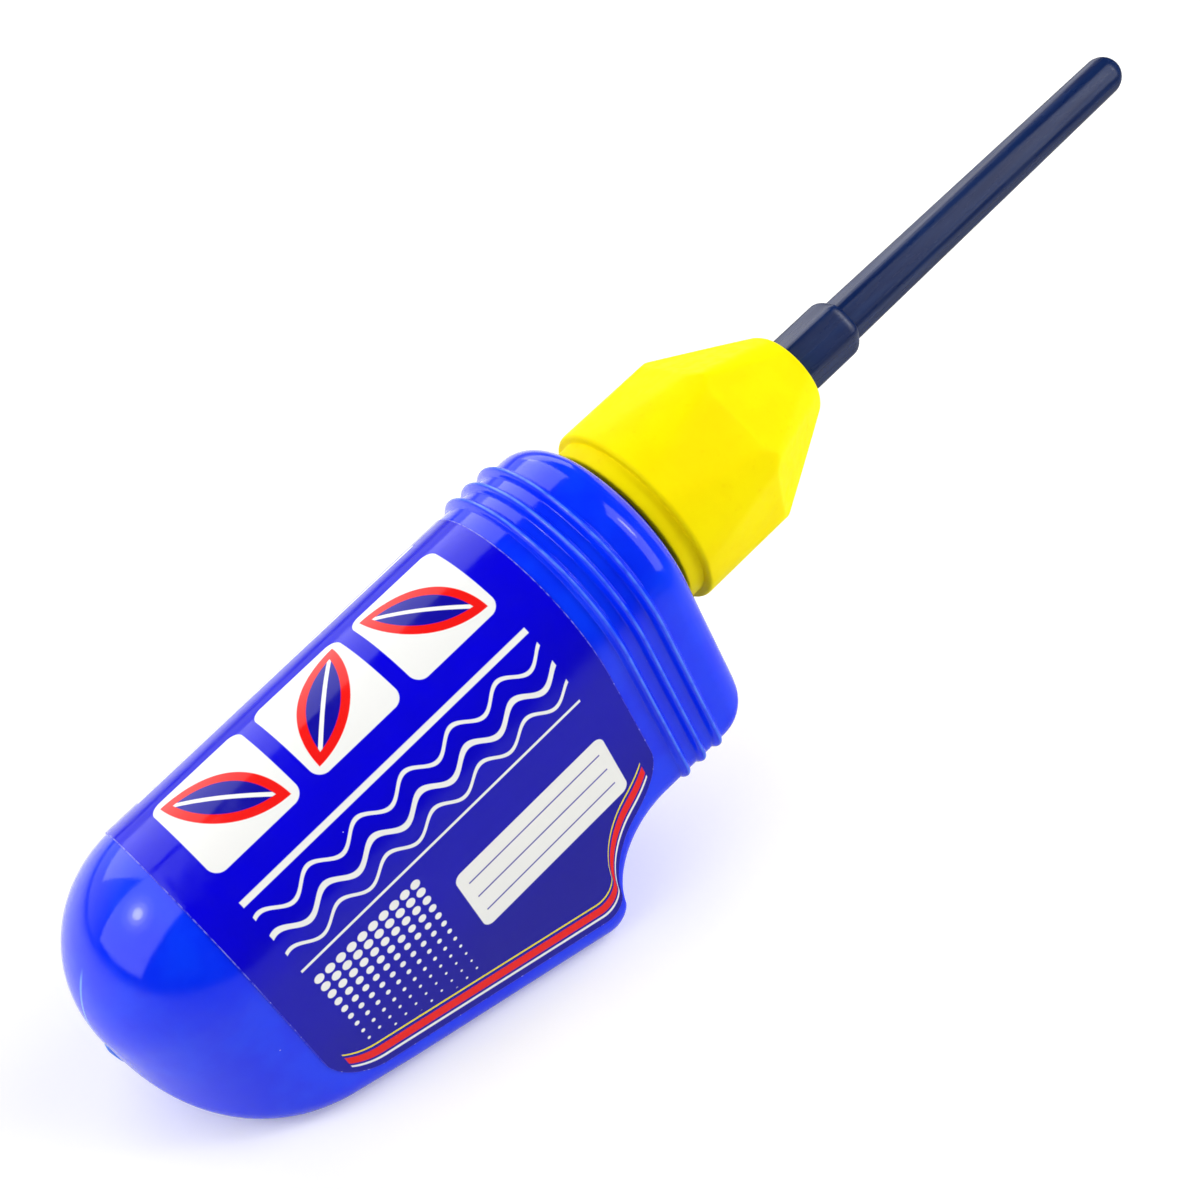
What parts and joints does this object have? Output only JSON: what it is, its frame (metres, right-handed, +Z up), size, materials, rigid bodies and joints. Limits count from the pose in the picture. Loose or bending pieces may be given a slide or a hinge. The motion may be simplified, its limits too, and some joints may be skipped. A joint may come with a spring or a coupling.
{
  "type": "plastic cement bottle",
  "caption": "Squeeze bottle on a slanted foot, with a screwed needle nozzle and a pull-off needle cap, for applying liquid plastic cement.",
  "frame": {"origin": "middle of the flat foot that the bottle stands on", "axes": "+Z up from the foot, +X along the foot towards the needle, Y = 0 is the plane of symmetry"},
  "size_m": [0.1332, 0.0318, 0.0575],
  "materials": {
    "blue_plastic": "glossy blow-moulded plastic",
    "label_film": "printed plastic film",
    "cement": "clear liquid",
    "washer_foam": "soft foamed plastic",
    "yellow_plastic": "satin moulded plastic",
    "steel": "drawn stainless tube",
    "navy_plastic": "satin moulded plastic"
  },
  "bodies": {
    "bottle": {"bottle_body": "blue_plastic", "wrap_label": "label_film", "cement": "cement"},
    "seal": {"sealing_washer": "washer_foam"},
    "nozzle": {"screw_collar": "yellow_plastic", "needle_tube": "steel"},
    "cap": {"needle_cap": "navy_plastic"}
  },
  "joints": [
    {"name": "nozzle_lift", "type": "slide", "parent": "bottle", "child": "seal", "axis": [0.9511, 0, 0.309], "range_m": [0, 0.0049]},
    {"name": "nozzle_turn", "type": "hinge", "parent": "seal", "child": "nozzle", "pos_m": [0.02879, 0, 0.03274], "axis": [0.9511, 0, 0.309], "range_deg": [0, 540]},
    {"name": "cap_pull", "type": "slide", "parent": "nozzle", "child": "cap", "axis": [0.9511, 0, 0.309], "range_m": [0, 0.052]}
  ],
  "couplings": [
    {"joint": "nozzle_lift", "follows": "nozzle_turn", "m_per_rad": 0.0005093}
  ]
}
